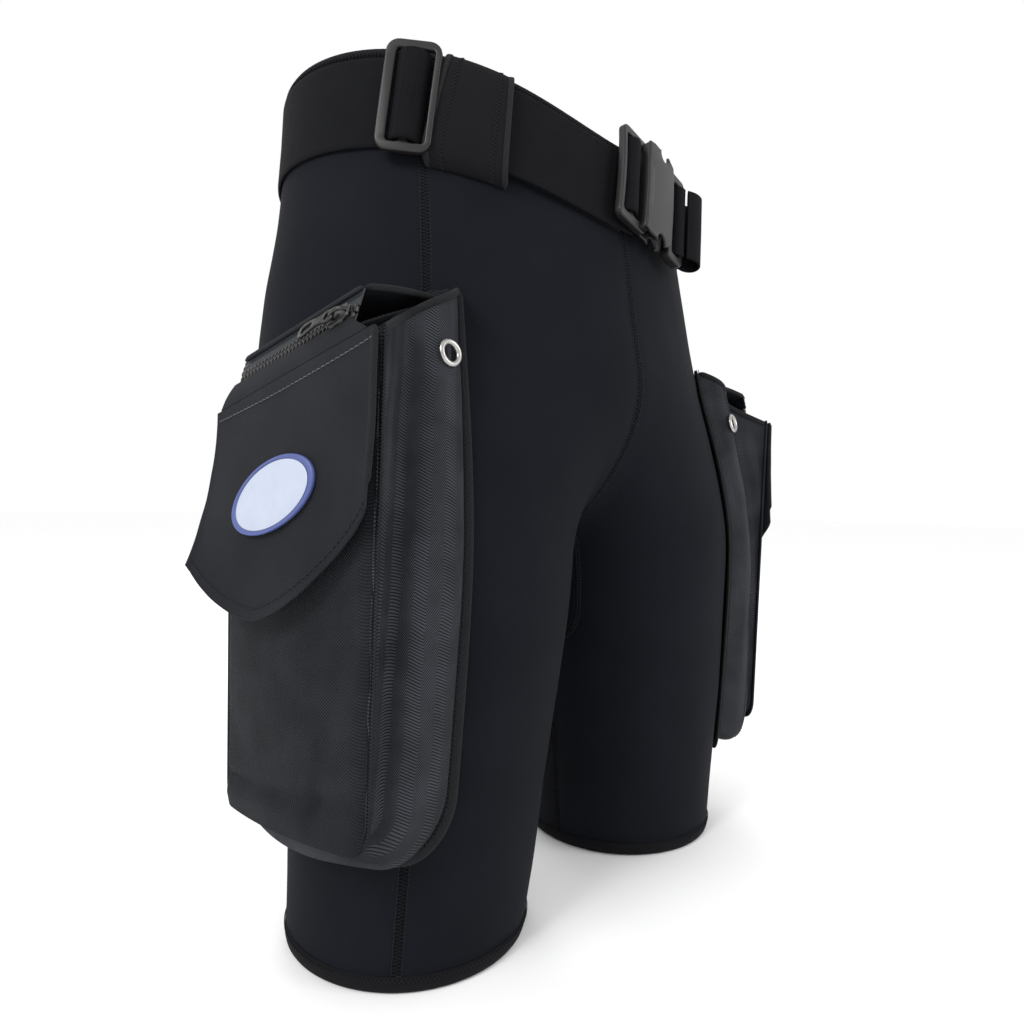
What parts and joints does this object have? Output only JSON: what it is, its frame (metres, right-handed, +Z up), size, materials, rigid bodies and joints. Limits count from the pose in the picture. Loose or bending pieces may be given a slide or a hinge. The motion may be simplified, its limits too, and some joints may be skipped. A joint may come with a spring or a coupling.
{
  "type": "dive shorts with weight belt",
  "caption": "Neoprene dive shorts with a threaded webbing waist belt, side-release buckle and expanding flap pockets on both thighs.",
  "frame": {"origin": "On the ground plane under the crotch, midway between the leg openings, with both leg hems resting on the plane.", "axes": "+X is the wearer's left, +Y is towards the wearer's back, +Z is up. The front of the garment faces -Y."},
  "size_m": [0.4446, 0.2452, 0.493],
  "materials": {
    "neoprene": "matte knit-faced neoprene",
    "binding": "matte folded and stitched neoprene",
    "webbing": "fine flat-woven webbing",
    "ballistic_nylon": "coarse basket weave nylon",
    "coated_nylon": "smooth coated nylon",
    "zipper_tape": "coated tape with a slight sheen",
    "zipper_plastic": "moulded plastic",
    "acetal": "satin moulded acetal",
    "nickel": "satin nickel plate",
    "badge": "smooth moulded badge, blank",
    "hook_and_loop": "hook and loop pile"
  },
  "bodies": {
    "shorts": {"back_panel_left": "neoprene", "back_panel_right": "neoprene", "belt_adjuster_layer": "webbing", "belt_webbing_left": "webbing", "belt_webbing_right": "webbing", "buckle_female": "acetal", "buckle_female_webbing": "webbing", "crotch_gusset": "neoprene", "eyelet_left": "nickel", "eyelet_right": "nickel", "face_loop_strip_left": "hook_and_loop", "face_loop_strip_right": "hook_and_loop", "front_panel_left": "neoprene", "front_panel_right": "neoprene", "hem_binding_left": "binding", "hem_binding_right": "binding", "keeper_back_left": "binding", "keeper_back_right": "binding", "keeper_front_left": "binding", "keeper_front_right": "binding", "pocket_base_left": "ballistic_nylon", "pocket_base_right": "ballistic_nylon", "pocket_face_left": "ballistic_nylon", "pocket_face_right": "ballistic_nylon", "pocket_gusset_left": "ballistic_nylon", "pocket_gusset_right": "ballistic_nylon", "pocket_top_strip_left": "ballistic_nylon", "pocket_top_strip_right": "ballistic_nylon", "waist_binding": "binding", "zipper_tape_lower_left": "zipper_tape", "zipper_tape_lower_right": "zipper_tape", "zipper_tape_upper_left": "zipper_tape", "zipper_tape_upper_right": "zipper_tape", "zipper_teeth_lower_left": "zipper_plastic", "zipper_teeth_lower_right": "zipper_plastic", "zipper_teeth_upper_left": "zipper_plastic", "zipper_teeth_upper_right": "zipper_plastic"},
    "flap_right": {"pocket_flap_right": "coated_nylon", "flap_hook_strip_right": "hook_and_loop", "flap_badge": "badge"},
    "flap_left": {"pocket_flap_left": "coated_nylon", "flap_hook_strip_left": "hook_and_loop"},
    "slider_right": {"zipper_slider_right": "zipper_plastic"},
    "slider_left": {"zipper_slider_left": "zipper_plastic"},
    "pull_right": {"zipper_pull_right": "zipper_plastic"},
    "pull_left": {"zipper_pull_left": "zipper_plastic"},
    "buckle_male": {"buckle_male": "acetal", "belt_tail_loop": "webbing"},
    "prong_upper": {"buckle_prong_upper": "acetal"},
    "prong_lower": {"buckle_prong_lower": "acetal"},
    "triglide": {"triglide": "acetal", "triglide_webbing": "webbing"}
  },
  "joints": [
    {"name": "flap_right_hinge", "type": "hinge", "parent": "shorts", "child": "flap_right", "pos_m": [-0.1948, -0.0303, 0.30523], "axis": [-0.1669, 0.9467, -0.2756], "range_deg": [0, 110]},
    {"name": "flap_left_hinge", "type": "hinge", "parent": "shorts", "child": "flap_left", "pos_m": [0.1948, -0.0303, 0.29323], "axis": [-0.1669, -0.9467, 0.2756], "range_deg": [0, 110]},
    {"name": "zipper_right_slide", "type": "slide", "parent": "shorts", "child": "slider_right", "axis": [-0.1669, 0.9467, -0.2756], "range_m": [0, 0.06]},
    {"name": "zipper_left_slide", "type": "slide", "parent": "shorts", "child": "slider_left", "axis": [0.1669, 0.9467, -0.2756], "range_m": [0, 0.06]},
    {"name": "pull_right_hinge", "type": "hinge", "parent": "slider_right", "child": "pull_right", "pos_m": [-0.18733, -0.06249, 0.33109], "axis": [0.3368, 0.0594, 0.9397], "range_deg": [0, 95]},
    {"name": "pull_left_hinge", "type": "hinge", "parent": "slider_left", "child": "pull_left", "pos_m": [0.18733, -0.06249, 0.3191], "axis": [0.3368, -0.0594, -0.9397], "range_deg": [0, 95]},
    {"name": "buckle_release", "type": "slide", "parent": "shorts", "child": "buckle_male", "axis": [0.9723, 0.065, -0.2247], "range_m": [0, 0.02]},
    {"name": "prong_upper_flex", "type": "hinge", "parent": "buckle_male", "child": "prong_upper", "pos_m": [0.03987, -0.08707, 0.44767], "axis": [0.0913, -0.9898, 0.109], "range_deg": [0, 10], "stiffness_Nm_per_rad": 0.02},
    {"name": "prong_lower_flex", "type": "hinge", "parent": "buckle_male", "child": "prong_lower", "pos_m": [0.03341, -0.09087, 0.41862], "axis": [0.0913, -0.9898, 0.109], "range_deg": [-10, 0]},
    {"name": "triglide_adjust", "type": "slide", "parent": "shorts", "child": "triglide", "axis": [0.6945, -0.7119, -0.1045], "range_m": [-0.012, 0]}
  ],
  "couplings": [
    {"joint": "prong_lower_flex", "follows": "prong_upper_flex", "ratio": -1}
  ]
}
